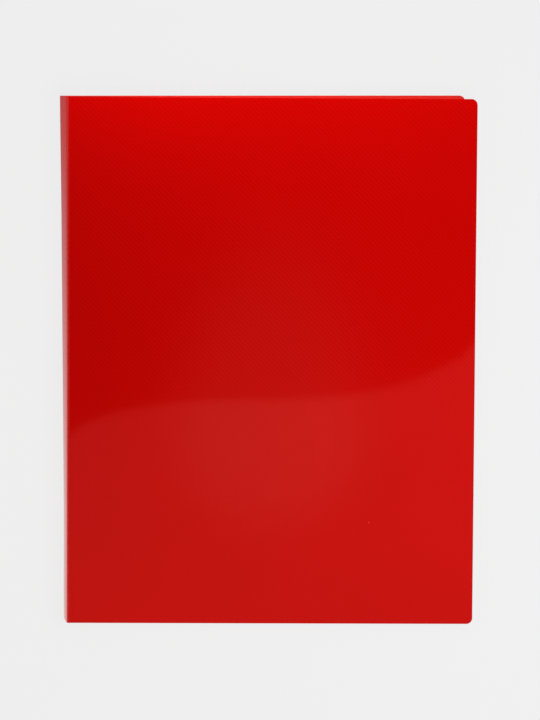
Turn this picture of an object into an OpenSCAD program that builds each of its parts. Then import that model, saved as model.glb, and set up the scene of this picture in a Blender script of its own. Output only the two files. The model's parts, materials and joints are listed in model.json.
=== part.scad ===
// A4 folder of coloured plastic sheet with a sprung paper clip on the inside of its back cover.
// It lies closed on its back cover: +Z is up, +Y is towards the top of the pages, and +X runs
// from the spine to the free edges. The origin is under the middle of the closed folder.
// Section coordinates [u, w] are used for what is bent from sheet: u is along X and w along Z.

/* [Cover sheet] */
// Width of the front cover, from its crease to its free edge
cover_w = 240; // [215:1:270]
// How much narrower the back cover is than the front cover
back_cut = 2; // [0:0.5:5]
// Height of the folder along its spine
cover_h = 311; // [280:1:340]
// Thickness of the plastic sheet
sheet_t = 0.7; // [0.5:0.05:1]
// Radius of the free corners of both covers
corner_r = 3.5; // [1:0.5:10]
// Width of the spine between its two creases
spine_w = 16; // [15:0.5:30]
// Angle of the spine above the back cover when the folder is closed
spine_angle = 80; // [70:1:90]
// Slope of the closed front cover down towards its free edge
cover_slope = 0.7; // [0:0.1:1.5]

/* [Creases] */
// Outer radius of a folded crease
fold_r = 1.2; // [1.1:0.1:2]
// Thickness of the web that the crease is pressed down to
web_t = 0.35; // [0.2:0.05:0.5]
// Play between each edge of the web and the full sheet
web_play = 0.02; // [0.01:0.01:0.05]

/* [Inner pocket] */
// Thickness of the pocket's film
film_t = 0.2; // [0.15:0.05:0.3]
// Room between the film and the front cover
pocket_room = 0.3; // [0.2:0.05:0.6]
// Distance of the pocket from the edges of the cover
pocket_margin = 5; // [3:0.5:12]
// Width of the pocket along the foot of the cover
pocket_w = 190; // [120:1:195]
// Height of the pocket beside the free edge
pocket_low = 95; // [60:1:130]
// Height of the pocket on the spine side
pocket_high = 160; // [130:1:200]
// Radius of the thumb notch in the pocket's mouth
notch_r = 11; // [6:0.5:16]
// Length of one weld dash
weld_l = 5; // [3:0.5:8]
// Width of one weld dash
weld_w = 1.2; // [0.8:0.1:2]
// Distance from one weld dash to the next
weld_pitch = 9; // [8.5:0.5:14]

/* [Clip base] */
// Distance from the rear crease to the pivot of the clip
pivot_x = 19; // [18:0.5:26]
// Height of the pivot above the base plate
pivot_h = 4.4; // [4:0.1:5]
// Thickness of the base plate
base_t = 0.8; // [0.6:0.1:1]
// Length of the base plate along the spine
base_l = 122; // [118:1:150]
// Reach of the base plate from the pivot towards the spine
base_back = 14; // [13:0.5:16]
// Reach of the base plate from the pivot towards the free edge
base_front = 20; // [19:0.5:26]
// Radius of the base plate's corners
base_r = 5; // [2:0.5:8]
// Width of an upturned ear
ear_w = 6.4; // [5:0.2:6.8]
// Radius of the ear's round top
ear_r = 3.5; // [3.4:0.1:3.8]
// Radius of the bead that grips the sheets
bead_r = 0.6; // [0.5:0.05:0.65]
// Depth of the bead's axis below the face of the base plate
bead_sink = 0.15; // [0.1:0.05:0.25]

/* [Clip jaw] */
// Thickness of the jaw plate
jaw_t = 0.9; // [0.7:0.1:1.1]
// Length of the jaw along the spine
jaw_l = 100; // [90:1:102]
// Width of the handle, which is also the span over its two flanges
handle_w = 59.4; // [56:0.2:66]
// Reach of the handle from the pivot towards the spine
handle_reach = 12.8; // [12:0.1:13.4]
// Height of the handle's underside above the pivot
handle_lift = 4.2; // [4.1:0.1:4.6]
// Rise of the handle towards its end
handle_rise = 8; // [5:0.5:10]
// Length of the flared end of the handle
flare_l = 2.2; // [1.5:0.1:3]
// Further rise of the flared end
flare_rise = 18; // [10:1:25]
// Reach of the nose from the pivot
nose_reach = 16.5; // [16:0.1:17.5]
// Slope of the plate down to the nose
nose_slope = 31; // [30:0.5:34]
// Upward angle of the lip past the nose
lip_rise = 28; // [20:1:35]
// Length of the lip past the nose
lip_l = 2.4; // [2:0.1:3]
// Radius of the nose and of the other bends, at the middle of the plate
bend_r = 2.2; // [1.5:0.1:2.6]
// Gap between the closed nose and the gripping bead
nose_gap = 0.3; // [0.2:0.05:0.5]
// Distance from the pivot at which the handle widens to the full jaw
shoulder_x = 1; // [0:0.5:3]
// Radius of the handle's corners
handle_r = 9; // [4:0.5:11]
// Radius of the jaw's other corners
jaw_r = 3; // [1.5:0.5:4]
// Width of a flange beside its hole
flange_w = 5.4; // [4.6:0.2:5.8]
// Radius of the flange's round foot
flange_r = 3; // [2.9:0.1:3.3]
// Length of the stiffening rib across the jaw
rib_l = 84; // [60:1:88]
// Radius of the stiffening rib
rib_r = 0.7; // [0.5:0.05:0.7]
// Length of the rib's tapered ends
rib_taper = 4; // [2:0.5:8]

/* [Pivot and springs] */
// Radius of the pivot pin
pin_r = 1; // [0.8:0.05:1.1]
// Radial clearance of the pin in its holes
pin_play = 0.05; // [0.02:0.01:0.1]
// Radius of the pin's riveted heads
head_r = 1.7; // [1.4:0.1:2.2]
// Thickness of the pin's riveted heads
head_t = 0.6; // [0.4:0.1:1]
// Clearance between an ear and the flange beside it
ear_play = 0.3; // [0.2:0.05:0.5]
// Diameter of the spring wire
wire_d = 1; // [0.8:0.05:1.1]
// Room between the pin and the spring's coil
coil_play = 0.5; // [0.45:0.05:0.6]
// Distance from one curl of the spring to the next
curl_pitch = 1.55; // [1.5:0.05:2]
// Whole curls of each spring, besides the part curl between its legs
curls = 6; // [4:1:7]
// Distance between the two springs
spring_gap = 16; // [8:1:20]
// Reach of the spring's legs from the pivot towards the spine
leg_reach = 10; // [8:0.5:11]
// Clearance between a spring leg and what it presses on
leg_play = 0.25; // [0.1:0.05:0.4]

/* [Rivets] */
// Distance of each rivet from the end of the base plate
rivet_margin = 6; // [4.5:0.5:7]
// Radius of the rivet's shank
shank_r = 2; // [1.5:0.1:2.5]
// Radial clearance of the shank in its holes
shank_play = 0.05; // [0.02:0.01:0.1]
// Radius of the flat head behind the cover
flat_head_r = 4; // [3.2:0.1:5]
// Thickness of the flat head
flat_head_t = 0.3; // [0.2:0.05:0.35]
// Play under and around the flat head in its recess
recess_play = 0.03; // [0.02:0.01:0.05]
// Radius of the rolled head on the base plate
rolled_head_r = 3.2; // [2.8:0.1:3.6]
// Height of the rolled head
rolled_head_h = 0.8; // [0.6:0.1:1.2]
// Radius of the rivet's hollow
hollow_r = 1.2; // [0.8:0.1:1.4]

/* [Hidden] */

// Colours of the finished pieces
cover_red = [0.80, 0.03, 0.02];
web_red = [0.90, 0.12, 0.10];
film_red = [0.93, 0.55, 0.53, 0.6];
plated_steel = [0.76, 0.77, 0.79];
spring_steel = [0.58, 0.59, 0.62];

// Straight steps that stand for a bend, and sides and rings of the spring wire
arc_steps = 8;
round_fn = 96;
wire_sides = 6;
rings_per_curl = 8;

// Places of the creases
closed_w = fold_r + spine_w * cos(spine_angle) + cover_w * cos(cover_slope) + fold_r * sin(cover_slope);
rear_axis = [fold_r - closed_w / 2, 0, fold_r];
front_axis = rear_axis + spine_w * [cos(spine_angle), 0, sin(spine_angle)];

// Places on the clip, in section coordinates from the pivot
pivot = [rear_axis[0] + pivot_x, 0, sheet_t + base_t + pivot_h];
bead_rise = bead_r - bead_sink;
flange_y = handle_w / 2;
ear_y = flange_y + ear_play;
ear_length = pivot_h + ear_r;

// Middle line of the jaw plate: the flared end, the handle, the slope to the nose and the lip
nose_turn = nose_slope + lip_rise;
nose_drop = bend_r * (cos((lip_rise - nose_slope) / 2) / cos(nose_turn / 2) - 1);
nose_point = [nose_reach, -pivot_h + bead_rise + nose_gap + jaw_t / 2 - nose_drop];
handle_line = handle_lift + jaw_t / 2 / cos(handle_rise);
crest_u = (nose_point[1] + nose_reach * tan(nose_slope) - handle_line) / (tan(nose_slope) - tan(handle_rise));
crest_point = [crest_u, handle_line - crest_u * tan(handle_rise)];
flare_point = [flare_l - handle_reach, handle_line + (handle_reach - flare_l) * tan(handle_rise)];
tip_point = flare_point + flare_l * [-1, tan(handle_rise + flare_rise)];
lip_point = nose_point + lip_l * [1, tan(lip_rise)];
jaw_line = rounded_line([tip_point, flare_point, crest_point, nose_point, lip_point], bend_r);

// Places on the springs, in section coordinates from the pivot
coil_r = pin_r + coil_play + wire_d / 2;
lower_leg = [-leg_reach, -pivot_h + leg_play + wire_d / 2];
upper_leg = [
    -leg_reach,
    handle_lift + leg_reach * tan(handle_rise) - (leg_play + wire_d / 2) / cos(handle_rise)
];
first_angle = atan2(lower_leg[1], lower_leg[0]) + acos(coil_r / norm(lower_leg));
last_angle = atan2(upper_leg[1], upper_leg[0]) - acos(coil_r / norm(upper_leg)) + 360 * curls;
coil_l = curl_pitch * (last_angle - first_angle) / 360;

// Places on the rivets, above the underside of the back cover
flat_head_z = recess_play;
recess_h = flat_head_t + 2 * recess_play;
rivet_y = base_l / 2 - rivet_margin;
seat_z = sheet_t + base_t + recess_play;

// Points of the arc that rounds the corner at b between a and c
function corner_arc(a, b, c, r) =
    let (
        to_a = (a - b) / norm(a - b),
        to_c = (c - b) / norm(c - b),
        half = acos(to_a * to_c) / 2,
        centre = b + (to_a + to_c) / norm(to_a + to_c) * r / sin(half),
        from_centre = b + to_a * r / tan(half) - centre,
        start = atan2(from_centre[1], from_centre[0]),
        turn = sign(cross(b - a, c - b)) * (180 - 2 * half)
    )
    [for (i = [0 : arc_steps]) centre + r * polar(start + turn * i / arc_steps)];

function polar(angle) = [cos(angle), sin(angle)];

// Closed outline with each corner rounded to its own radius, or left sharp at zero
function rounded(corners, radii) =
    let (n = len(corners))
    [
        for (i = [0 : n - 1])
            each radii[i] > 0
                ? corner_arc(corners[(i + n - 1) % n], corners[i], corners[(i + 1) % n], radii[i])
                : [corners[i]]
    ];

// Open line with its inner corners rounded
function rounded_line(points, r) =
    let (last = len(points) - 1)
    [
        points[0],
        for (i = [1 : last - 1]) each corner_arc(points[i - 1], points[i], points[i + 1], r),
        points[last]
    ];

// Outline of a sheet of thickness t along its middle line
function sheet_along(line, t) =
    let (
        last = len(line) - 1,
        ahead = [for (i = [0 : last]) line[min(i + 1, last)] - line[max(i - 1, 0)]],
        across = [for (d = ahead) [-d[1], d[0]] / norm(d) * t / 2]
    )
    [
        for (i = [0 : last]) line[i] + across[i],
        for (i = [last : -1 : 0]) line[i] - across[i]
    ];

// Middle line of a spring: a straight leg, the curls about the pin, and the other leg
function spring_line() =
    let (
        rings = ceil((last_angle - first_angle) / 360 * rings_per_curl),
        place = function(at, along) [at[0], along, at[1]]
    )
    [
        place(lower_leg, 0),
        for (i = [0 : rings])
            place(coil_r * polar(first_angle + (last_angle - first_angle) * i / rings), coil_l * i / rings),
        place(upper_leg, coil_l)
    ];

// Corners of the wire's rings along its middle line
function wire_points(line) =
    let (last = len(line) - 1)
    [
        for (i = [0 : last])
            let (
                d = line[min(i + 1, last)] - line[max(i - 1, 0)],
                side = cross(d, [0, 1, 0]) / norm(cross(d, [0, 1, 0])),
                up = cross(side, d / norm(d))
            )
            for (j = [0 : wire_sides - 1])
                line[i] + wire_d / 2 * (side * cos(360 * j / wire_sides) + up * sin(360 * j / wire_sides))
    ];

// Triangles that close a wire of so many rings
function wire_faces(rings) =
    let (corner = function(i, j) i * wire_sides + j % wire_sides)
    [
        for (i = [0 : rings - 2])
            for (j = [0 : wire_sides - 1])
                each [
                    [corner(i, j), corner(i, j + 1), corner(i + 1, j)],
                    [corner(i + 1, j), corner(i, j + 1), corner(i + 1, j + 1)]
                ],
        for (j = [1 : wire_sides - 2])
            each [
                [corner(0, 0), corner(0, j + 1), corner(0, j)],
                [corner(rings - 1, 0), corner(rings - 1, j), corner(rings - 1, j + 1)]
            ]
    ];

// Least gap of a wire to itself, between middle line points at least most of a curl apart
function least_gap(line) =
    let (far = rings_per_curl - 2, n = len(line))
    min([
        for (i = [0 : n - 1 - far])
            for (k = [i + far : n - 1])
                norm(line[i] - line[k]) - wire_d
    ]);

echo(spring_self_gap = least_gap(spring_line()));

// A section extruded along the spine, centred on the middle of the folder
module along_spine(length) {
    rotate([90, 0, 0])
        linear_extrude(length, center = true)
            children();
}

// The same on both sides of the middle, as far out as its inner face
module on_both_sides(inner_y, thickness) {
    for (side = [0, 1])
        mirror([0, side, 0])
            translate([0, inner_y + thickness / 2, 0])
                along_spine(thickness)
                    children();
}

// Flat outline of a cover from its crease to its free edge
module cover_outline(width) {
    polygon(rounded(
        [
            [web_play, -cover_h / 2],
            [width, -cover_h / 2],
            [width, cover_h / 2],
            [web_play, cover_h / 2]
        ],
        [0, corner_r, corner_r, 0]
    ));
}

module at_rivets() {
    for (side = [-1, 1])
        translate([pivot[0], side * rivet_y, 0])
            children();
}

// Back cover, which carries the clip. Its rivets' flat heads are pressed into the sheet.
module back_cover() {
    color(cover_red)
        difference() {
            translate([rear_axis[0], 0, 0])
                linear_extrude(sheet_t)
                    cover_outline(cover_w - back_cut);
            at_rivets() {
                translate([0, 0, -sheet_t])
                    cylinder(r = shank_r + shank_play, h = 3 * sheet_t, $fn = round_fn);
                translate([0, 0, recess_h - sheet_t])
                    cylinder(r = flat_head_r + recess_play, h = sheet_t, $fn = round_fn);
            }
        }
}

// Web of a crease, folded round its axis between two angles
module folded_web(low, high) {
    color(web_red)
        rotate([90, 0, 0])
            rotate(low)
                rotate_extrude(angle = high - low, $fn = round_fn)
                    translate([fold_r - web_t, -cover_h / 2])
                        square([web_t, cover_h]);
}

// Folded web between the back cover and the spine
module rear_crease() {
    translate(rear_axis)
        folded_web(90 + spine_angle, 270);
}

// Spine panel
module spine() {
    color(cover_red)
        translate(rear_axis)
            rotate([0, -spine_angle, 0])
                translate([web_play, -cover_h / 2, fold_r - sheet_t])
                    cube([spine_w - 2 * web_play, cover_h, sheet_t]);
}

// Folded web between the spine and the front cover
module front_crease() {
    translate(front_axis)
        folded_web(90 - cover_slope, 90 + spine_angle);
}

// The front cover's own frame, with its inner face at zero height
module on_front_cover() {
    translate(front_axis)
        rotate([0, cover_slope, 0])
            translate([0, 0, fold_r - sheet_t])
                children();
}

// Front cover
module front_cover() {
    color(cover_red)
        on_front_cover()
            linear_extrude(sheet_t)
                cover_outline(cover_w);
}

// Row of weld dashes on a line that runs along +X
module weld_row(length) {
    count = floor((length - weld_l) / weld_pitch);
    for (i = [0 : count])
        translate([(length - count * weld_pitch) / 2 + i * weld_pitch - weld_l / 2, -weld_w / 2, 0])
            cube([weld_l, weld_w, pocket_room + film_t / 2]);
}

// Film pocket on the inside of the front cover, welded along three edges and open at its slanted mouth
module inner_pocket() {
    right = cover_w - pocket_margin;
    left = right - pocket_w;
    foot = pocket_margin - cover_h / 2;
    mouth_middle = [(left + right) / 2, foot + (pocket_low + pocket_high) / 2];
    color(film_red)
        on_front_cover() {
            translate([0, 0, -pocket_room - film_t])
                linear_extrude(film_t)
                    difference() {
                        polygon(rounded(
                            [
                                [left, foot],
                                [right, foot],
                                [right, foot + pocket_low],
                                [left, foot + pocket_high]
                            ],
                            [corner_r, corner_r, 0, 0]
                        ));
                        translate(mouth_middle)
                            circle(r = notch_r, $fn = round_fn);
                    }
            translate([0, 0, -pocket_room - film_t / 2]) {
                translate([left, foot + weld_w, 0])
                    weld_row(pocket_w);
                translate([right - weld_w, foot, 0])
                    rotate(90)
                        weld_row(pocket_low);
                translate([left + weld_w, foot, 0])
                    rotate(90)
                        weld_row(pocket_high);
            }
        }
}

// Ear of the base plate around the pivot, upright on the plate
module ear_section() {
    difference() {
        union() {
            circle(r = ear_r, $fn = round_fn);
            translate([-ear_w / 2, -pivot_h - base_t / 2])
                square([ear_w, pivot_h + base_t / 2]);
        }
        circle(r = pin_r + pin_play, $fn = round_fn);
    }
}

// Stamped base plate with its ears bent up out of two windows, and a bead that grips the sheets
module clip_base() {
    color(plated_steel)
        translate(pivot) {
            difference() {
                translate([0, 0, -pivot_h - base_t])
                    linear_extrude(base_t)
                        difference() {
                            polygon(rounded(
                                [
                                    [-base_back, -base_l / 2],
                                    [base_front, -base_l / 2],
                                    [base_front, base_l / 2],
                                    [-base_back, base_l / 2]
                                ],
                                [base_r, base_r, base_r, base_r]
                            ));
                            for (side = [0, 1])
                                mirror([0, side])
                                    translate([-ear_w / 2, ear_y + base_t])
                                        square([ear_w, ear_length]);
                        }
                translate([-pivot[0], 0, -pivot[2]])
                    at_rivets()
                        cylinder(r = shank_r + shank_play, h = pivot[2], $fn = round_fn);
            }
            on_both_sides(ear_y, base_t)
                ear_section();
            translate([nose_reach, 0, -pivot_h - bead_sink])
                along_spine(jaw_l)
                    circle(r = bead_r, $fn = round_fn);
        }
}

// Hollow rivets: a flat head behind the cover, the shank, and a rolled head on the base plate
module clip_rivets() {
    rim_r = (rolled_head_r + hollow_r) / 2;
    color(plated_steel)
        at_rivets()
            translate([0, 0, flat_head_z])
                rotate_extrude($fn = round_fn)
                    polygon([
                        [0, 0],
                        [flat_head_r, 0],
                        [flat_head_r, flat_head_t],
                        [shank_r, flat_head_t],
                        [shank_r, seat_z - flat_head_z],
                        [rolled_head_r, seat_z - flat_head_z],
                        [rim_r, seat_z + rolled_head_h - flat_head_z],
                        [hollow_r, seat_z - flat_head_z],
                        [hollow_r, flat_head_t],
                        [0, flat_head_t]
                    ]);
}

// Pin through the ears and flanges, riveted over at both ends
module pivot_pin() {
    span = 2 * (ear_y + base_t + recess_play);
    color(plated_steel)
        translate(pivot)
            rotate([90, 0, 0])
                rotate_extrude($fn = round_fn)
                    polygon([
                        [0, -span / 2 - head_t],
                        [pin_r, -span / 2 - head_t],
                        [head_r, -span / 2],
                        [pin_r, -span / 2],
                        [pin_r, span / 2],
                        [head_r, span / 2],
                        [pin_r, span / 2 + head_t],
                        [0, span / 2 + head_t]
                    ]);
}

// Torsion spring about the pin, with one leg on the base plate and one under the handle
module torsion_spring() {
    line = spring_line();
    color(spring_steel)
        translate(pivot + [0, spring_gap / 2, 0])
            polyhedron(wire_points(line), wire_faces(len(line)));
}

module upper_spring() {
    torsion_spring();
}

module lower_spring() {
    translate([0, -spring_gap - coil_l, 0])
        torsion_spring();
}

// Flange of the jaw: a tongue around the pivot, up to the middle line of the plate
module flange_section() {
    under_plate = concat(jaw_line, [[nose_reach, -flange_r], [-handle_reach, -flange_r]]);
    difference() {
        union() {
            circle(r = flange_r, $fn = round_fn);
            intersection() {
                translate([-flange_w / 2, 0])
                    square([flange_w, handle_lift + jaw_t]);
                polygon(under_plate);
            }
        }
        circle(r = pin_r + pin_play, $fn = round_fn);
    }
}

// Rib pressed across the jaw, with tapered ends
module stiffening_rib() {
    middle = (crest_point + nose_point) / 2 + jaw_t / 2 * [sin(nose_slope), cos(nose_slope)];
    translate([middle[0], 0, middle[1]])
        rotate([90, 0, 0])
            rotate_extrude($fn = round_fn)
                polygon([
                    [0, -rib_l / 2],
                    [rib_r, rib_taper - rib_l / 2],
                    [rib_r, rib_l / 2 - rib_taper],
                    [0, rib_l / 2]
                ]);
}

// Jaw: a bent plate with a narrow handle, a wide nose and two flanges that turn on the pin
module clip_jaw() {
    plate_end = lip_point[0] + jaw_t;
    color(plated_steel)
        translate(pivot) {
            intersection() {
                along_spine(jaw_l)
                    polygon(sheet_along(jaw_line, jaw_t));
                translate([0, 0, -pivot_h])
                    linear_extrude(pivot_h + 2 * handle_reach)
                        polygon(rounded(
                            [
                                [tip_point[0] - jaw_t, -handle_w / 2],
                                [shoulder_x, -handle_w / 2],
                                [shoulder_x, -jaw_l / 2],
                                [plate_end, -jaw_l / 2],
                                [plate_end, jaw_l / 2],
                                [shoulder_x, jaw_l / 2],
                                [shoulder_x, handle_w / 2],
                                [tip_point[0] - jaw_t, handle_w / 2]
                            ],
                            [handle_r, jaw_r, jaw_r, jaw_r, jaw_r, jaw_r, jaw_r, handle_r]
                        ));
            }
            on_both_sides(flange_y - jaw_t, jaw_t)
                flange_section();
            stiffening_rib();
        }
}

back_cover();
rear_crease();
spine();
front_crease();
front_cover();
inner_pocket();
clip_base();
clip_rivets();
pivot_pin();
upper_spring();
lower_spring();
clip_jaw();
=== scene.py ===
import json
import math
import bmesh
import bpy
from mathutils import Matrix, Vector


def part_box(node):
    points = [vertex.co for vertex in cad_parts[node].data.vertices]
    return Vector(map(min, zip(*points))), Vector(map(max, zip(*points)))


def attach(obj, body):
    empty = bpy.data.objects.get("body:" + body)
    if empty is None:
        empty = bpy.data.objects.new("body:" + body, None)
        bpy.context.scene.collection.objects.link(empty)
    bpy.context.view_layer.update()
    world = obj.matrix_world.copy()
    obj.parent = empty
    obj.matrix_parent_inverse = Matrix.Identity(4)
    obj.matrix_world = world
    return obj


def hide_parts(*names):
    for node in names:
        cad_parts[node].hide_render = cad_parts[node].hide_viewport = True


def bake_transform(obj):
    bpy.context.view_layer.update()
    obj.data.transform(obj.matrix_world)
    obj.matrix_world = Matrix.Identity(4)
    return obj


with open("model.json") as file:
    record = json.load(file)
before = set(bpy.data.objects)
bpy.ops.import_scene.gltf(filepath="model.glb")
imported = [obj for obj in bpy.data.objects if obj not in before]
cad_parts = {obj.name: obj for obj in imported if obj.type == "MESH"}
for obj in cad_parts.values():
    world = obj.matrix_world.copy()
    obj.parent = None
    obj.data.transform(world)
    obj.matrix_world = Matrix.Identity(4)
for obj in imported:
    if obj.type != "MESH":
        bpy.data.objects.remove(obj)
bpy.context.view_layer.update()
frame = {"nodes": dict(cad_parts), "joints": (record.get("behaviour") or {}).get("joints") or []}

# Camera: it looks down on the closed folder from nearly two metres, from over its head edge. The
# leaning spine shows as a narrow strip on the left, and the back cover as a line above the front cover.
camera_place = Vector((-0.01205, 0.14499, 1.9))
camera_turn = [math.radians(angle) for angle in (-4.389, -0.403, -0.028)]
lens_length = 160.083
sensor_height = 36
camera_data = bpy.data.cameras.new("camera")
camera_data.sensor_fit = "VERTICAL"
camera_data.sensor_height = sensor_height
camera_data.lens = lens_length
camera = bpy.data.objects.new("camera", camera_data)
camera.location = camera_place
camera.rotation_euler = camera_turn
bpy.context.scene.collection.objects.link(camera)
bpy.context.scene.camera = camera
bpy.context.scene.view_settings.view_transform = "Standard"


# Floor: a plain pale sheet under the folder. What the camera sees of it is mostly its own even light,
# and for the rest the light that falls on it, which keeps the folder's shadow. Mirror images of it
# show only its own light, with painted shade that makes them darker towards the head.
class Term:
    """A socket of a node tree, so that shader maths is written as Python sums."""

    def __init__(self, tree, socket=None):
        self.tree = tree
        self.socket = socket

    def add(self, kind, settings=None, inputs=None, output=0):
        """Adds a node, sets its settings and then its sockets, and gives one of its outputs."""
        node = self.tree.nodes.new(kind)
        for name, value in (settings or {}).items():
            setattr(node, name, value)
        for name, value in (inputs or {}).items():
            if isinstance(value, Term):
                self.tree.links.new(value.socket, node.inputs[name])
            else:
                node.inputs[name].default_value = value
        return Term(self.tree, node.outputs[output] if len(node.outputs) else None)

    def math(self, operation, first, second=0.0):
        """Result of a Math node on two values."""
        return self.add("ShaderNodeMath", {"operation": operation}, {0: first, 1: second})

    def __add__(self, other):
        return self.math("ADD", self, other)

    def __sub__(self, other):
        return self.math("SUBTRACT", self, other)

    def __mul__(self, other):
        return self.math("MULTIPLY", self, other)

    def __rsub__(self, other):
        return self.math("SUBTRACT", other, self)

    def __pow__(self, other):
        return self.math("POWER", self, other)

    __radd__ = __add__
    __rmul__ = __mul__

    def smooth(self, low, high):
        """Smooth step of this value, from 0 at low to 1 at high."""
        ends = {"Value": self, "From Min": low, "From Max": high}
        return self.add("ShaderNodeMapRange", {"interpolation_type": "SMOOTHSTEP"}, ends)

    def span(self, low, high):
        """Value between two others, low where this one is 0 and high where it is 1."""
        return low + self * (high - low)

    def mix(self, low, high):
        """Colour between two others, each a term or three numbers, low where this value is 0."""
        low, high = [end if isinstance(end, Term) else (*end, 1) for end in (low, high)]
        # A Mix node has sockets of the same names for each kind of data, so its colours go by number.
        return self.add("ShaderNodeMix", {"data_type": "RGBA"}, {0: self, 6: low, 7: high}, 2)

    def part(self, axis):
        """One coordinate of this vector."""
        return self.add("ShaderNodeSeparateXYZ", None, {"Vector": self}, axis)


def new_material(name):
    """Empty material and the start of its nodes."""
    material = bpy.data.materials.new(name)
    material.use_nodes = True
    material.node_tree.nodes.clear()
    return material, Term(material.node_tree)


def seen(start, direct=1):
    """Share for what the camera or a clear film shows, 1 for mirror images and 0 for light on its way."""
    by_camera = start.add("ShaderNodeLightPath", output="Is Camera Ray")
    through_film = start.add("ShaderNodeLightPath", output="Is Transmission Ray")
    in_mirror = start.add("ShaderNodeLightPath", output="Is Glossy Ray")
    return start.math("MAXIMUM", start.math("MAXIMUM", by_camera, through_film) * direct, in_mirror)


def stage_card(name, half, height, material, faces_up):
    """Square card of the stage, level at a height, with its face up or down."""
    corners = [(-half, -half), (half, -half), (half, half), (-half, half)]
    if not faces_up:
        corners.reverse()
    mesh = bpy.data.meshes.new(name)
    mesh.from_pydata([(x, y, height) for x, y in corners], [], [(0, 1, 2, 3)])
    mesh.materials.append(material)
    card = bpy.data.objects.new(name, mesh)
    bpy.context.scene.collection.objects.link(card)
    return card


background_level = 0.888
floor_own_light = 0.92
floor_mirror_painted_shade_head = 0.2
floor_mirror_foot = 0.8
mirror_head_y = 0.2
mirror_foot_y = -0.12
floor_half = 4.0
floor_drop = 0.0001
floor_white = (0.86, 0.86, 0.86, 1)
black = (0, 0, 0)
white = (1, 1, 1)

floor_material, start = new_material("pale floor")
lit = start.add("ShaderNodeBsdfDiffuse", None, {"Color": floor_white})
# Painted shade: in mirror images the floor's own light fades towards the head.
to_foot = start.add("ShaderNodeTexCoord", output="Object").part("Y").smooth(mirror_head_y, mirror_foot_y)
mirrored = to_foot.span(floor_mirror_painted_shade_head, floor_mirror_foot)
level = start.add("ShaderNodeLightPath", output="Is Glossy Ray").span(background_level, mirrored)
own = start.add("ShaderNodeEmission", None, {"Color": level.mix(black, white)})
shade = start.add("ShaderNodeMixShader", None, {0: seen(start, floor_own_light), 1: lit, 2: own})
start.add("ShaderNodeOutputMaterial", None, {"Surface": shade})
floor = stage_card("floor", floor_half, -floor_drop, floor_material, faces_up=True)

# Light: a soft pale room that is darker overhead, a lamp over the folder, and low lamps round it that
# leave the floor out, so that they draw no edges on it. Above them hangs a dim reflector, whose lighter,
# redder half and soft glow are mirrored in the glossy front cover.
room_level = 0.3
overhead_level = 0.45
overhead_height = 0.7
world = bpy.data.worlds.new("room")
world.use_nodes = True
world.node_tree.nodes.clear()
bpy.context.scene.world = world
start = Term(world.node_tree)
height = start.add("ShaderNodeTexCoord", output="Generated").part("Z")
shown = height.smooth(0, overhead_height).span(background_level, overhead_level)
level = seen(start).span(room_level, shown)
room = start.add("ShaderNodeBackground", None, {"Color": level.mix(black, white)})
start.add("ShaderNodeOutputWorld", None, {"Surface": room})

low_lamp = 0.2
all_but_floor = bpy.data.collections.new("all but the floor")
all_but_floor.objects.link(floor)
all_but_floor.collection_objects[0].light_linking.link_state = "EXCLUDE"


def soft_lamp(name, place, target, size, radiance):
    """Rectangular lamp at a place, turned to a target, that lights evenly and isn't mirrored."""
    lamp = bpy.data.lights.new(name, "AREA")
    lamp.shape = "RECTANGLE"
    lamp.size, lamp.size_y = size
    lamp.energy = 4 * size[0] * size[1] * radiance
    lamp.cycles.use_multiple_importance_sampling = False
    holder = bpy.data.objects.new(name, lamp)
    holder.location = place
    holder.rotation_euler = (Vector(target) - Vector(place)).to_track_quat("-Z", "Y").to_euler()
    holder.visible_camera = False
    holder.visible_glossy = False
    if place[2] < low_lamp:
        holder.light_linking.receiver_collection = all_but_floor
    bpy.context.scene.collection.objects.link(holder)


soft_lamp("over lamp", (0.2, -0.05, 0.5), target=(0.2, -0.05, 0), size=(0.3, 0.3), radiance=4.6)
soft_lamp("head lamp", (0, 0.22, 0.06), target=(0, 0, 0.036), size=(0.3, 0.084), radiance=1.48)
soft_lamp("head left lamp", (-0.08, 0.22, 0.06), target=(-0.08, 0, 0.036), size=(0.16, 0.084), radiance=0.67)
soft_lamp("foot left lamp", (-0.14, -0.22, 0.12), target=(-0.14, 0, 0.072), size=(0.2, 0.168), radiance=0.37)
soft_lamp("head slit lamp", (0.06, 0.19, 0.012), target=(0.06, 0, 0.012), size=(0.3, 0.02), radiance=2.1)
soft_lamp("spine lamp", (-1.0, -0.1, 0.012), target=(-0.12, -0.1, 0.012), size=(0.8, 0.024), radiance=72)

reflector_height = 2.2
reflector_half = 1.7
reflector_middle = (0.07, -0.25, reflector_height)
fade_start = 0.8
fade_end = 1.4
edge_middle = -0.2194
edge_slope = 0.028
edge_curve = -0.42
edge_bend = 2.81
edge_blur = 0.0065
lighter_level = 0.175
lighter_red = 1.1
glow_middle = (0.073, -0.257)
glow_aside = 0.168
glow_up = 0.33
glow_down = 0.166
glow_core = 0.35
glow_level = 0.09
glow_in_lighter = 0.07
warm_green = 0.98
warm_blue = 0.8

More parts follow.
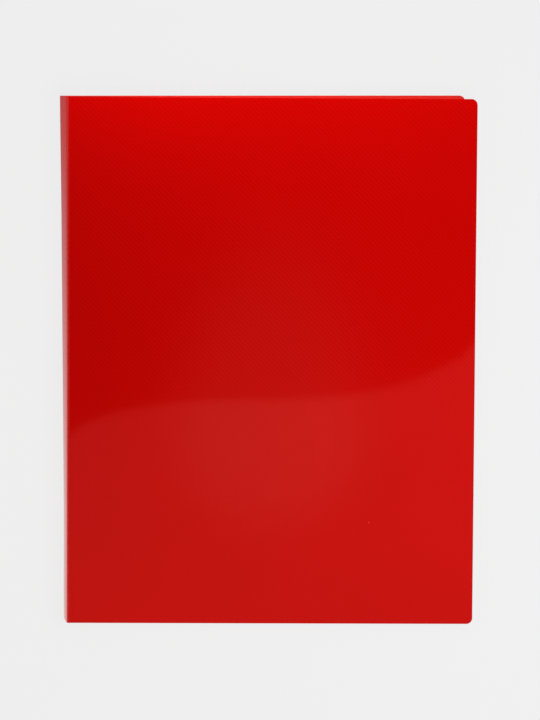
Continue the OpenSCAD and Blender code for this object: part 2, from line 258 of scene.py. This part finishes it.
reflector_material, start = new_material("dim reflector")
place = start.add("ShaderNodeTexCoord", output="Object")
across = place.part("X")
along = place.part("Y")
edge = edge_middle + across * (edge_slope + across * (edge_curve + across * edge_bend))
lighter = (edge - along).smooth(-edge_blur, edge_blur)
aside = (across - glow_middle[0]) * (1 / glow_aside)
above = along - glow_middle[1]
rise = start.math("MAXIMUM", above * (1 / glow_up), above * (-1 / glow_down))
glow = ((aside ** 2 + rise ** 2) ** 0.5).smooth(1, glow_core)
level = lighter * (lighter_level + glow * glow_in_lighter) + glow * glow_level
outward = {0: place, 1: reflector_middle}
fade = start.add("ShaderNodeVectorMath", {"operation": "DISTANCE"}, outward, 1).smooth(fade_start, fade_end)
level = fade.span(level, overhead_level)
red = level + lighter * (1 - fade) * lighter_red
warm = {"Red": red, "Green": level * warm_green, "Blue": level * warm_blue}
shade = start.add("ShaderNodeEmission", None, {"Color": start.add("ShaderNodeCombineColor", None, warm)})
start.add("ShaderNodeOutputMaterial", None, {"Surface": shade})

reflector = stage_card("reflector", reflector_half, reflector_height, reflector_material, faces_up=False)
reflector.visible_camera = False
reflector.visible_diffuse = False
reflector.visible_shadow = False

# Cover sheet: one sheet of glossy red polypropylene with a fine diagonal emboss outside and a matt
# inside, die-cut with round free corners, and creased twice into back cover, spine and front cover.
fold_axes = {joint["name"]: Vector(joint["pos_m"]) for joint in frame["joints"]}
rear_axis = fold_axes["spine_fold"]
front_axis = fold_axes["front_fold"]
fold_r = rear_axis.z
sheet_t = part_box("back_cover")[1].z
spine_along = (front_axis - rear_axis).normalized()
spine_w = (front_axis - rear_axis).length
spine_out = Vector((-spine_along.z, 0, spine_along.x))
cover_slope = math.radians(0.7)
front_along = Vector((math.cos(cover_slope), 0, -math.sin(cover_slope)))
front_out = Vector((math.sin(cover_slope), 0, math.cos(cover_slope)))
front_low, front_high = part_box("front_cover")
cover_h = front_high.y - front_low.y
front_w = (front_high.x - front_axis.x - fold_r * front_out.x) / front_along.x
back_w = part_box("back_cover")[1].x - rear_axis.x
corner_r = 0.0035
panel_play = 0.00045
panel_step = 0.008
edge_ease = 0.00014
ease_segments = 3
ease_angle = math.radians(60)

# The closed folder sits a little askew: its front cover is turned towards the foot and drawn in there at
# its crease, its back cover is drawn up at the spine, and the ends of the rear crease splay out.
skew = math.radians(0.51)
skew_slip = Vector((-0.00076, -0.00019, 0))
back_slip = 0.0003
whole_turn = math.radians(0.149)
back_shear = 0.00275
back_still_x = 0.062
foot_splay = 0.0005
head_splay = 0.0003
splay_reach = 0.075
splay_width = 0.1
front_pull = 0.0004
pull_start = 0.142
pull_reach = 0.19


def ease_in(value):
    """Smooth step of a number, from 0 to 1."""
    value = min(max(value, 0), 1)
    return value * value * (3 - 2 * value)


def askew(point, lift):
    """Place of a point of the folder as it lies, lift being 0 at the rear and 1 at the front crease."""
    aside = skew * (point.y + cover_h / 2)
    down = skew * (point.x - front_axis.x)
    pull = front_pull * ease_in((pull_start - point.y) / pull_reach)
    pull *= ease_in(1 - (point.x - front_axis.x) / splay_width)
    front_shift = skew_slip + Vector((aside + pull, -down, 0))
    from_end = cover_h / 2 - abs(point.y)
    splay = (head_splay if point.y > 0 else foot_splay) * ease_in(1 - from_end / splay_reach)
    splay *= ease_in(1 - (point.x - rear_axis.x) / splay_width)
    rear_shift = Vector((back_slip - splay, back_shear * (back_still_x - point.x), 0))
    turn_shift = whole_turn * Vector((-point.y - cover_h / 2, point.x - rear_axis.x, 0))
    return point + rear_shift.lerp(front_shift, lift) + turn_shift


# The outside has narrow ridges on flat, glossy lands, shallower towards the foot, and a few specks.
plastic_ior = 1.49
emboss_pitch = 0.00202
emboss_height = 0.000006
emboss_sharpness = 26
emboss_roughness = 0.28
emboss_foot_share = 0.7
emboss_fade = (-0.06, 0.0)
gloss_grain = 0.0015
gloss_roughness = (0.025, 0.035)
red_cloud = 0.06
speck_spacing = 0.045
speck_rim = 0.012
speck_core = 0.006
speck_height = 0.00002
cover_red = (0.64, 0.0010, 0.0003)
deep_red = (0.60, 0.0008, 0.0002)
ridge_red = (0.622, 0.0010, 0.0004)
speck_red = (0.80, 0.05, 0.045)


def plastic(start, color, roughness, height):
    """Surface of coloured plastic with its finish."""
    bump = start.add("ShaderNodeBump", None, {"Strength": 1, "Distance": 1, "Height": height})
    inputs = {"Base Color": color, "Roughness": roughness, "IOR": plastic_ior, "Normal": bump}
    shade = start.add("ShaderNodeBsdfPrincipled", None, inputs)
    start.add("ShaderNodeOutputMaterial", None, {"Surface": shade})


def grain(start, place, size, detail=2.0):
    """Even noise from 0 to 1 with grains of a size."""
    inputs = {"Vector": place, "Scale": 1 / size, "Detail": detail}
    return start.add("ShaderNodeTexNoise", {"noise_dimensions": "3D"}, inputs)


outside, start = new_material("glossy cover outside")
place = start.add("ShaderNodeUVMap", {"uv_map": "sheet"})
across_ridges = (place.part("X") + place.part("Y")) * (math.sqrt(2) * math.pi / emboss_pitch)
ridges = (start.math("COSINE", across_ridges) * 0.5 + 0.5) ** emboss_sharpness
ridges = ridges * place.part("Y").smooth(*emboss_fade).span(emboss_foot_share, 1)
spread = {"Vector": place, "Scale": 1 / speck_spacing}
specks = start.add("ShaderNodeTexVoronoi", None, spread).smooth(speck_rim, speck_core)
tone = grain(start, place, red_cloud).mix(deep_red, cover_red)
color = specks.mix(ridges.mix(tone, ridge_red), speck_red)
gloss = grain(start, place, gloss_grain).span(*gloss_roughness) + ridges * emboss_roughness
plastic(start, color, gloss, ridges * emboss_height + specks * speck_height)

# The inside is finely sanded by its roller.
inside_cloud = 0.04
inside_roughness = (0.38, 0.46)
# Painted light in part: both reds are lighter than the outside's, partly the inside's own red and partly for
# the light on the back cover's strip by the head.
inside_red_partly_painted_light = (0.84, 0.019, 0.012)
inside_pale_partly_painted_light = (0.87, 0.023, 0.015)
sand_size = 0.0004
sand_height = 0.00001

inside, start = new_material("matt cover inside")
place = start.add("ShaderNodeUVMap", {"uv_map": "sheet"})
sand = grain(start, place, sand_size)
clouds = grain(start, place, inside_cloud)
plastic(start, clouds.mix(inside_red_partly_painted_light, inside_pale_partly_painted_light), clouds.span(*inside_roughness), sand * sand_height)

# The die leaves the cut edges dull and a little ragged.
nick_size = 0.0008
nick_detail = 4
nick_height = 0.00002
# Painted shade: the cut edges are a darker red than the cover, for the shade along them; the ragged mix of
# the two reds is their own.
cut_roughness = (0.4, 0.6)
cut_shaded_red = (0.42, 0.006, 0.004)
cut_shaded_dark = (0.34, 0.004, 0.003)

cut_edge, start = new_material("cut edge of the cover")
place = start.add("ShaderNodeTexCoord", output="Object")
nicks = grain(start, place, nick_size, nick_detail)
plastic(start, nicks.mix(cut_shaded_dark, cut_shaded_red), nicks.span(*cut_roughness), nicks * nick_height)


def round_corners(corners, radius, steps=8):
    """Outline with its corners rounded; a corner is a point and whether it is round."""
    outline = []
    count = len(corners)
    for i, (corner, is_round) in enumerate(corners):
        if not is_round:
            outline.append(corner)
            continue
        before = (corners[i - 1][0] - corner).normalized()
        after = (corners[(i + 1) % count][0] - corner).normalized()
        half = before.angle(after) / 2
        centre = corner + (before + after).normalized() * radius / math.sin(half)
        first = corner + before * radius / math.tan(half) - centre
        turn = math.copysign(math.pi - 2 * half, before.cross(after).z * -1)
        for k in range(steps + 1):
            outline.append(centre + Matrix.Rotation(turn * k / steps, 3, "Z") @ first)
    return outline


def cut_grid(mesh, step):
    """Cuts a flat mesh along a square grid, so that it can bend."""
    for axis in (0, 1):
        places = [vert.co[axis] for vert in mesh.verts]
        low, high = min(places), max(places)
        count = round((high - low) / step)
        for k in range(1, count):
            at = Vector((0, 0, 0))
            at[axis] = low + (high - low) * k / count
            across = Vector((0, 0, 0))
            across[axis] = 1
            everything = mesh.verts[:] + mesh.edges[:] + mesh.faces[:]
            bmesh.ops.bisect_plane(mesh, geom=everything, plane_co=at, plane_no=across)


def finished(thing):
    """Applies a thing's modifiers, so that its mesh is final."""
    bpy.context.view_layer.update()
    evaluated = thing.evaluated_get(bpy.context.evaluated_depsgraph_get())
    mesh = bpy.data.meshes.new_from_object(evaluated)
    thing.modifiers.clear()
    thing.data = mesh
    return thing


def new_thing(name, mesh, materials):
    """Object at the origin with a finished bmesh and its materials."""
    data = bpy.data.meshes.new(name)
    mesh.to_mesh(data)
    mesh.free()
    for material in materials:
        data.materials.append(material)
    thing = bpy.data.objects.new(name, data)
    bpy.context.scene.collection.objects.link(thing)
    return thing


def sheet_panel(name, outline, place, sheet_place, step=panel_step, flipped=False):
    """Panel of the cover sheet: its outer face from an outline, then its thickness and eased edges."""
    mesh = bmesh.new()
    mesh.faces.new([mesh.verts.new(point) for point in outline])
    cut_grid(mesh, step)
    layer = mesh.loops.layers.uv.new("sheet")
    for face in mesh.faces:
        face.smooth = True
        for loop in face.loops:
            loop[layer].uv = sheet_place(loop.vert.co)
    for vert in mesh.verts:
        vert.co = place(vert.co)
    if flipped:
        bmesh.ops.reverse_faces(mesh, faces=mesh.faces)
    panel = new_thing(name, mesh, [outside, inside, cut_edge])
    wall = panel.modifiers.new("thickness", "SOLIDIFY")
    wall.thickness = sheet_t
    wall.offset = -1
    wall.material_offset = 1
    wall.material_offset_rim = 2
    ease = panel.modifiers.new("eased edges", "BEVEL")
    ease.width = edge_ease
    ease.segments = ease_segments
    ease.limit_method = "ANGLE"
    ease.angle_limit = ease_angle
    shading = panel.modifiers.new("flat faces", "WEIGHTED_NORMAL")
    shading.keep_sharp = True
    return finished(panel)


def cover_outline(width):
    """Flat outline of a cover from its crease to its free edge."""
    corners = [
        (Vector((panel_play, -cover_h / 2, 0)), False),
        (Vector((width, -cover_h / 2, 0)), True),
        (Vector((width, cover_h / 2, 0)), True),
        (Vector((panel_play, cover_h / 2, 0)), False),
    ]
    return round_corners(corners, corner_r)


# Back cover: the panel of the sheet that lies on the table and carries the clip. It is cut a little
# narrower than the front cover, and goes over into the spine at the rear crease.
back_cover = sheet_panel(
    "back_cover_sheet",
    cover_outline(back_w),
    lambda flat: askew(Vector((rear_axis.x + flat.x, flat.y, 0)), 0),
    lambda flat: (-flat.x, flat.y),
    flipped=True,
)
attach(back_cover, "back")
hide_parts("back_cover")

# Spine: the narrow panel of the same sheet between the two creases, which gives the room for the pages.
# It bows out a little, and is twisted because the folder sits askew.
spine_bow = 0.00025
spine_step = 0.002
spine_outline = [
    Vector((panel_play, -cover_h / 2, 0)),
    Vector((spine_w - panel_play, -cover_h / 2, 0)),
    Vector((spine_w - panel_play, cover_h / 2, 0)),
    Vector((panel_play, cover_h / 2, 0)),
]


def spine_place(flat):
    """Place of a point of the flat spine on the closed folder."""
    share = flat.x / spine_w
    bow = spine_bow * 4 * share * (1 - share)
    straight = rear_axis + flat.x * spine_along + (fold_r + bow) * spine_out + Vector((0, flat.y, 0))
    return askew(straight, share)


spine = sheet_panel(
    "spine_sheet", spine_outline, spine_place, lambda flat: (flat.x, flat.y), spine_step
)
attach(spine, "spine")
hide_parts("spine")


# Front cover: the panel of the same sheet that closes the folder. It hangs on the front crease and
# slopes down a little to its free edge, which lies just past that of the back cover.
def front_place(flat, depth=0):
    """Place of a point of the flat front cover on the closed folder, at a depth under its outside."""
    straight = front_axis + flat.x * front_along + (fold_r - depth) * front_out
    return askew(straight + Vector((0, flat.y, 0)), 1)


front_cover = sheet_panel(
    "front_cover_sheet", cover_outline(front_w), front_place, lambda flat: (spine_w + flat.x, flat.y)
)
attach(front_cover, "front")
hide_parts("front_cover")

# Creases: the same sheet pressed thin along two lines, where it folds like a hinge. The press and the
# bending leave the plastic there a little paler than the panels.
web_t = 0.00035
web_tail = 0.001
web_sink = 0.00003
arc_steps = 10
crease_rows = 40
crease_angle = math.radians(40)
stress_size = 0.003
stress_detail = 3
stress_height = 0.000004
web_roughness = (0.12, 0.22)
web_red = (0.56, 0.003, 0.002)
web_pale = (0.66, 0.020, 0.016)

crease_web, start = new_material("pressed crease")
place = start.add("ShaderNodeUVMap", {"uv_map": "sheet"})
stress = grain(start, place, stress_size, stress_detail)
plastic(start, (stress ** 2).mix(web_red, web_pale), stress.span(*web_roughness), stress * stress_height)


def crease(name, axis, low_out, low_tail, high_out, high_tail, lift, sheet_start):
    """Bent strip about an axis, with a tail hidden inside the panel at each end."""
    turn = low_out.angle(high_out)
    spin = low_out.cross(high_out).normalized()
    bend = [Matrix.Rotation(turn * k / arc_steps, 3, spin) @ low_out for k in range(arc_steps + 1)]
    outer = [axis + low_out * (fold_r - web_sink) + low_tail * web_tail]
    outer += [axis + out * fold_r for out in bend]
    outer.append(axis + high_out * (fold_r - web_sink) + high_tail * web_tail)
    inner = [axis + low_out * (fold_r - web_t) + low_tail * web_tail]
    inner += [axis + out * (fold_r - web_t) for out in bend]
    inner.append(axis + high_out * (fold_r - web_t) + high_tail * web_tail)
    section = outer + inner[::-1]
    sheet_u = [sheet_start + fold_r * turn * k / arc_steps for k in range(-1, arc_steps + 2)]
    sheet_u += sheet_u[::-1]
    mesh = bmesh.new()
    layer = mesh.loops.layers.uv.new("sheet")
    rows = []
    for row in range(crease_rows + 1):
        y = cover_h * (row / crease_rows - 0.5)
        rows.append([mesh.verts.new(askew(point + Vector((0, y, 0)), lift)) for point in section])
    count = len(section)
    for low, high in zip(rows, rows[1:]):
        for k in range(count):
            mesh.faces.new((low[k], low[(k + 1) % count], high[(k + 1) % count], high[k]))
    last = len(outer) - 1
    for ends in (rows[0], rows[-1]):
        for k in range(last):
            mesh.faces.new((ends[k], ends[k + 1], ends[count - 2 - k], ends[count - 1 - k]))
    bmesh.ops.recalc_face_normals(mesh, faces=mesh.faces)
    place_of = {vert: (sheet_u[k], vert.co.y) for row in rows for k, vert in enumerate(row)}
    for face in mesh.faces:
        face.smooth = True
        for loop in face.loops:
            loop[layer].uv = place_of[loop.vert]
    for edge in mesh.edges:
        edge.smooth = edge.calc_face_angle(0) < crease_angle
    return new_thing(name, mesh, [crease_web])


down = Vector((0, 0, -1))
right = Vector((1, 0, 0))
rear_crease = crease("rear_crease_web", rear_axis, down, right, spine_out, spine_along, 0, 0)
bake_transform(rear_crease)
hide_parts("rear_crease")

front_crease = crease(
    "front_crease_web", front_axis, spine_out, -spine_along, front_out, front_along, 1, spine_w
)
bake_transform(front_crease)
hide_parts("front_crease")

# Inner pocket: a clear film inside the front cover, open at its slanted mouth, which has a thumb notch
# and stands off a little. Hot dashes weld it to the cover along its other three edges.
film_t = 0.0002
film_step = 0.004
pocket_room = 0.0003
pocket_margin = 0.005
pocket_w = 0.190
pocket_low = 0.095
pocket_high = 0.160
notch_r = 0.011
notch_steps = 16
weld_reach = 0.006
weld_gap = 0.00004
mouth_lift = 0.0006
mouth_reach = 0.03
film_clear = (0.90, 0.84, 0.84)
film_milky = (0.95, 0.91, 0.91)
film_roughness = (0.16, 0.26)
film_density = (0.15, 0.2)
film_cloud = 0.02
film_grain = 0.0006
film_grain_height = 0.000004

pocket_right = front_w - pocket_margin
pocket_left = pocket_right - pocket_w
pocket_foot = pocket_margin - cover_h / 2
mouth_low = Vector((pocket_right, pocket_foot + pocket_low, 0))
mouth_high = Vector((pocket_left, pocket_foot + pocket_high, 0))
mouth_along = (mouth_high - mouth_low).normalized()
mouth_middle = (mouth_low + mouth_high) / 2


def clear_film(name, density):
    """Film with faint milky clouds, that hides what is behind it by a least and a greatest share."""
    material, start = new_material(name)
    place = start.add("ShaderNodeTexCoord", output="Object")
    clouds = grain(start, place, film_cloud)
    height = grain(start, place, film_grain) * film_grain_height
    bump = start.add("ShaderNodeBump", None, {"Strength": 1, "Distance": 1, "Height": height})
    inputs = {"Base Color": clouds.mix(film_clear, film_milky), "Roughness": clouds.span(*film_roughness)}
    inputs.update({"Alpha": clouds.span(*density), "IOR": plastic_ior, "Normal": bump})
    shade = start.add("ShaderNodeBsdfPrincipled", None, inputs)
    start.add("ShaderNodeOutputMaterial", None, {"Surface": shade})
    return material


def film_depth(flat):
    """Depth of the film's free face under the outside of the cover."""
    from_weld = min(flat.x - pocket_left, pocket_right - flat.x, flat.y - pocket_foot)
    room = weld_gap + (pocket_room - weld_gap) * ease_in(from_weld / weld_reach)
    from_mouth = (flat - mouth_low).cross(mouth_along).z * -1
    bulge = mouth_lift * ease_in(1 - from_mouth / mouth_reach) * ease_in(from_weld / mouth_reach)
    return sheet_t + room + bulge + film_t


film_outline = round_corners(
    [
        (Vector((pocket_left, pocket_foot, 0)), True),
        (Vector((pocket_right, pocket_foot, 0)), True),
        (mouth_low, False),
        (mouth_high, False),
    ],
    corner_r,
)
notch = [
    mouth_middle + Matrix.Rotation(-math.pi * k / notch_steps, 3, "Z") @ (-notch_r * mouth_along)
    for k in range(notch_steps + 1)
]
film_outline = film_outline[:-1] + notch + film_outline[-1:]

mesh = bmesh.new()
mesh.faces.new([mesh.verts.new(point) for point in film_outline])
bmesh.ops.triangulate(mesh, faces=mesh.faces)
cut_grid(mesh, film_step)
for vert in mesh.verts:
    vert.co = front_place(vert.co, film_depth(vert.co))
for face in mesh.faces:
    face.smooth = True
bmesh.ops.reverse_faces(mesh, faces=mesh.faces)
film = new_thing("pocket_film", mesh, [clear_film("clear pocket film", film_density)])
wall = film.modifiers.new("thickness", "SOLIDIFY")
wall.thickness = film_t
wall.offset = -1
film.modifiers.new("flat faces", "WEIGHTED_NORMAL")
film = finished(film)
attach(film, "front")
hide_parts("inner_pocket")

# Pocket welds: rows of short dashes where a hot tool has fused the film to the cover. They stand up a
# little from the film and are milkier than it.
weld_l = 0.005
weld_w = 0.0012
weld_h = 0.00008
weld_pitch = 0.009
weld_density = (0.55, 0.75)
dash_round = 0.45
dash_ease = 0.8
dash_angle = math.radians(60)


def new_tree(name, inputs):
    """Empty tree of geometry nodes with named inputs, the start of its nodes and a way to its inputs."""
    tree = bpy.data.node_groups.new(name, "GeometryNodeTree")
    tree.interface.new_socket("Geometry", in_out="INPUT", socket_type="NodeSocketGeometry")
    for label, kind in inputs.items():
        tree.interface.new_socket(label, in_out="INPUT", socket_type=kind)
    tree.interface.new_socket("Geometry", in_out="OUTPUT", socket_type="NodeSocketGeometry")
    start = Term(tree)
    return tree, start, lambda label: start.add("NodeGroupInput", output=label)


def close_tree(start, geometry, material):
    """Ends a tree in real, smooth geometry with its material."""
    real = start.add("GeometryNodeRealizeInstances", None, {"Geometry": geometry})
    smooth = start.add("GeometryNodeSetShadeSmooth", None, {"Geometry": real})
    painted = start.add("GeometryNodeSetMaterial", None, {"Geometry": smooth, "Material": material})
    start.add("NodeGroupOutput", None, {"Geometry": painted})


def grown(name, base, tree, values):
    """Runs a tree on a base mesh, and gives an object with the plain mesh that comes out."""
    thing = bpy.data.objects.new(name, base)
    bpy.context.scene.collection.objects.link(thing)
    modifier = thing.modifiers.new("nodes", "NODES")
    modifier.node_group = tree
    for item in tree.interface.items_tree:
        if item.name in values:
            modifier[item.identifier] = values[item.name]
    return finished(thing)


tree, start, given = new_tree(
    "row of dashes",
    {"Pitch": "NodeSocketFloat", "Dash": "NodeSocketObject", "Material": "NodeSocketMaterial"},
)
lines = start.add("GeometryNodeMeshToCurve", None, {"Mesh": given("Geometry")})
spacing = {"Curve": lines, "Length": given("Pitch")}
points = start.add("GeometryNodeResampleCurve", {"mode": "LENGTH"}, spacing)
along = start.add("GeometryNodeInputTangent")
turned = start.add("FunctionNodeAlignRotationToVector", {"axis": "X"}, {"Vector": along})
dash = start.add("GeometryNodeObjectInfo", None, {"Object": given("Dash")}, "Geometry")
row = start.add(
    "GeometryNodeInstanceOnPoints", None, {"Points": points, "Instance": dash, "Rotation": turned}
)
close_tree(start, row, given("Material"))

mesh = bmesh.new()
bmesh.ops.create_cube(mesh, size=1, matrix=Matrix.Diagonal((weld_l, weld_w, 2 * weld_h, 1)))
upright = [edge for edge in mesh.edges if abs(edge.verts[0].co.z - edge.verts[1].co.z) > weld_h]
bmesh.ops.bevel(mesh, geom=upright, offset=weld_w * dash_round, segments=3, profile=0.5, affect="EDGES")
flat_edges = [edge for edge in mesh.edges if edge.calc_face_angle(0) > dash_angle]
bmesh.ops.bevel(mesh, geom=flat_edges, offset=weld_h * dash_ease, segments=2, profile=0.5, affect="EDGES")
dash_shape = new_thing("weld dash", mesh, [])

weld_lines = bpy.data.meshes.new("weld lines")
inset = weld_w
half_gap = weld_pitch / 2
weld_lines.from_pydata(
    [
        (pocket_left + half_gap, pocket_foot + inset, 0),
        (pocket_right - half_gap, pocket_foot + inset, 0),
        (pocket_right - inset, pocket_foot + half_gap, 0),
        (pocket_right - inset, mouth_low.y - half_gap, 0),
        (pocket_left + inset, pocket_foot + half_gap, 0),
        (pocket_left + inset, mouth_high.y - half_gap, 0),
    ],
    [(0, 1), (2, 3), (4, 5)],
    [],
)
fused = clear_film("fused weld", weld_density)
values = {"Pitch": weld_pitch, "Dash": dash_shape, "Material": fused}
welds = grown("pocket_welds", weld_lines, tree, values)
bpy.data.objects.remove(dash_shape)
for vert in welds.data.vertices:
    flat = Vector((vert.co.x, vert.co.y, 0))
    vert.co = front_place(flat, film_depth(flat) + vert.co.z)
welds.data.flip_normals()
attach(welds, "front")

# Clip base: a plate stamped from steel strip and nickel plated, with two ears bent up for the pin and
# a bead along its front edge that grips the sheets. Two rivets hold it on the back cover.
stamp_ease = 0.00012
stamp_segments = 2
same_point = 0.000002
flat_angle = math.radians(1)
stamp_angle = math.radians(40)
sharp_angle = math.radians(50)
nickel_dark = (0.56, 0.545, 0.52)
nickel_pale = (0.70, 0.69, 0.67)
nickel_cloud = 0.008
nickel_cloud_detail = 4
nickel_roughness = (0.1, 0.22)
rolled_sizes = (0.0005, 0.02, 0.0005)
rolled_detail = 3
rolled_share = 0.4
rolled_roughness = 0.08
rolled_height = 0.000002
plate_grain = 0.0003
plate_height = 0.0000006


def metal(start, color, roughness, height):
    """Bare metal surface with its finish."""
    bump = start.add("ShaderNodeBump", None, {"Strength": 1, "Distance": 1, "Height": height})
    inputs = {"Base Color": color, "Metallic": 1.0, "Roughness": roughness, "Normal": bump}
    shade = start.add("ShaderNodeBsdfPrincipled", None, inputs)
    start.add("ShaderNodeOutputMaterial", None, {"Surface": shade})


def stretched(start, place, sizes):
    """Place divided by a size along each axis, for a grain that runs one way."""
    inputs = {0: place, 1: [1 / size for size in sizes]}
    return start.add("ShaderNodeVectorMath", {"operation": "MULTIPLY"}, inputs)


nickel, start = new_material("nickel plate")
place = start.add("ShaderNodeTexCoord", output="Object")
rolled = grain(start, stretched(start, place, rolled_sizes), 1, rolled_detail)
clouds = grain(start, place, nickel_cloud, nickel_cloud_detail)
tone = (rolled * rolled_share + clouds * (1 - rolled_share)).mix(nickel_dark, nickel_pale)
roughness = clouds.span(*nickel_roughness) + rolled * rolled_roughness
metal(start, tone, roughness, rolled * rolled_height + grain(start, place, plate_grain) * plate_height)


def stamped(name, node, body):
    """Copy of a stamped piece with its edges rolled over, as the punch leaves them."""
    mesh = bmesh.new()
    mesh.from_mesh(frame["nodes"][node].data)
    bmesh.ops.remove_doubles(mesh, verts=mesh.verts, dist=same_point)
    bmesh.ops.dissolve_limit(mesh, angle_limit=flat_angle, verts=mesh.verts, edges=mesh.edges)
    bmesh.ops.bevel(
        mesh,
        geom=[edge for edge in mesh.edges if edge.calc_face_angle(0) > stamp_angle],
        offset=stamp_ease,
        segments=stamp_segments,
        profile=0.5,
        affect="EDGES",
        clamp_overlap=True,
    )
    for face in mesh.faces:
        face.smooth = True
        face.material_index = 0
    for edge in mesh.edges:
        edge.smooth = edge.calc_face_angle(0) < sharp_angle
    piece = new_thing(name, mesh, [nickel])
    shading = piece.modifiers.new("flat faces", "WEIGHTED_NORMAL")
    shading.keep_sharp = True
    finished(piece)
    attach(piece, body)
    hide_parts(node)


stamped("clip_base_plate", "clip_base", "back")

# Rivets: two hollow steel rivets through the base plate and the back cover. Their flat heads lie in
# the back of the cover, hardly proud of it, and their hollow ends are rolled over on the plate.
rivet_low, rivet_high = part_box("clip_rivets")
head_r = (rivet_high.x - rivet_low.x) / 2
rivet_x = (rivet_low.x + rivet_high.x) / 2
rivet_y = rivet_high.y - head_r
head_proud = 0.00005
flat_head_t = 0.0003
rolled_r = 0.0032
rolled_h = 0.0008
shank_r = 0.002
hollow_r = 0.0012
head_z = rivet_low.z - head_proud
seat_z = rivet_high.z - rolled_h
rim_r = (rolled_r + hollow_r) / 2
rivet_same_point = 0.000001
rivet_angle = math.radians(45)
round_steps = 10
lathe_steps = 40

profile = [(0, head_z), (head_r - flat_head_t / 2, head_z)]
for k in range(1, round_steps):
    angle = math.pi * (k / round_steps - 0.5)
    reach = flat_head_t / 2
    profile.append((head_r - reach + reach * math.cos(angle), head_z + reach + reach * math.sin(angle)))
profile += [(shank_r, head_z + flat_head_t), (shank_r, seat_z)]
for k in range(round_steps + 1):
    angle = math.pi * k / round_steps
    profile.append((rim_r + (rolled_r - rim_r) * math.cos(angle), seat_z + rolled_h * math.sin(angle)))
profile += [(hollow_r, head_z + flat_head_t), (0, head_z + flat_head_t)]

mesh = bmesh.new()
line = [mesh.verts.new((r, 0, z)) for r, z in profile]
edges = [mesh.edges.new(pair) for pair in zip(line, line[1:])]
bmesh.ops.spin(
    mesh, geom=line + edges, axis=(0, 0, 1), cent=(0, 0, 0), angle=2 * math.pi, steps=lathe_steps
)
bmesh.ops.remove_doubles(mesh, verts=mesh.verts, dist=rivet_same_point)
bmesh.ops.recalc_face_normals(mesh, faces=mesh.faces)
rivet_shape = new_thing("rivet", mesh, [])

tree, start, given = new_tree(
    "copies at points", {"Shape": "NodeSocketObject", "Material": "NodeSocketMaterial"}
)
shape = start.add("GeometryNodeObjectInfo", None, {"Object": given("Shape")}, "Geometry")
copies = start.add("GeometryNodeInstanceOnPoints", None, {"Points": given("Geometry"), "Instance": shape})
close_tree(start, copies, given("Material"))

rivet_points = bpy.data.meshes.new("rivet points")
rivet_points.from_pydata([(rivet_x, -rivet_y, 0), (rivet_x, rivet_y, 0)], [], [])
rivets = grown("hollow_rivets", rivet_points, tree, {"Shape": rivet_shape, "Material": nickel})
bpy.data.objects.remove(rivet_shape)
rivets.data.set_sharp_from_angle(angle=rivet_angle)
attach(rivets, "back")
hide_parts("clip_rivets")

# Pivot pin: a turned steel pin, nickel plated, through the ears of the base plate and the flanges of
# the jaw. It is riveted over at both ends, and its shape is that of the construction.
frame["nodes"]["pivot_pin"].material_slots[0].material = nickel

# Springs: two torsion springs of drawn steel wire round the pin. One leg of each presses on the base
# plate and the other lifts the handle, so that the nose of the jaw stays down.
pivot = fold_axes["jaw_pivot"]
wire_d = 0.001
coil_r = 0.002
curl_pitch = 0.00155
curls = 6
points_per_curl = 28
spring_gap = 0.016
lower_leg = Vector((-0.010, -0.00365))
upper_leg = Vector((-0.010, 0.00485))
wire_sides = 14
wire_angle = math.radians(50)
wire_dark = (0.36, 0.36, 0.37)
wire_pale = (0.52, 0.52, 0.53)
wire_roughness = (0.22, 0.37)
wire_cloud = 0.004
draw_size = 0.0004
draw_detail = 3
draw_height = 0.000002

drawn_wire, start = new_material("drawn spring wire")
place = start.add("ShaderNodeTexCoord", output="Object")
draw_lines = grain(start, place, draw_size, draw_detail)
tone = grain(start, place, wire_cloud, draw_detail).mix(wire_dark, wire_pale)
metal(start, tone, draw_lines.span(*wire_roughness), draw_lines * draw_height)

tree, start, given = new_tree(
    "wire along a line",
    {"Radius": "NodeSocketFloat", "Sides": "NodeSocketInt", "Material": "NodeSocketMaterial"},
)
line = start.add("GeometryNodeMeshToCurve", None, {"Mesh": given("Geometry")})
ring = start.add(
    "GeometryNodeCurvePrimitiveCircle", None, {"Resolution": given("Sides"), "Radius": given("Radius")}
)
wire = start.add(
    "GeometryNodeCurveToMesh", None, {"Curve": line, "Profile Curve": ring, "Fill Caps": True}
)
close_tree(start, wire, given("Material"))

first_angle = math.atan2(lower_leg.y, lower_leg.x) + math.acos(coil_r / lower_leg.length)
last_angle = math.atan2(upper_leg.y, upper_leg.x) - math.acos(coil_r / upper_leg.length)
last_angle += 2 * math.pi * curls
turns = (last_angle - first_angle) / (2 * math.pi)
coil_l = curl_pitch * turns
ring_count = math.ceil(turns * points_per_curl)

for name, node, foot_y in (
    ("upper_spring_wire", "upper_spring", spring_gap / 2),
    ("lower_spring_wire", "lower_spring", -spring_gap / 2 - coil_l),
):
    head_y = foot_y + coil_l
    route = [pivot + Vector((lower_leg.x, foot_y, lower_leg.y))]
    for k in range(ring_count + 1):
        angle = first_angle + (last_angle - first_angle) * k / ring_count
        along_coil = foot_y + coil_l * k / ring_count
        route.append(pivot + Vector((coil_r * math.cos(angle), along_coil, coil_r * math.sin(angle))))
    route.append(pivot + Vector((upper_leg.x, head_y, upper_leg.y)))
    route_mesh = bpy.data.meshes.new("spring route")
    route_mesh.from_pydata(route, [(k, k + 1) for k in range(len(route) - 1)], [])
    values = {"Radius": wire_d / 2, "Sides": wire_sides, "Material": drawn_wire}
    spring = grown(name, route_mesh, tree, values)
    spring.data.set_sharp_from_angle(angle=wire_angle)
    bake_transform(spring)
    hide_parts(node)

# Jaw: a plate stamped and bent from the same strip, with a handle, a stiffening rib, a nose that
# presses the sheets on the bead, and two flanges that turn on the pin.
stamped("clip_jaw_plate", "clip_jaw", "jaw")
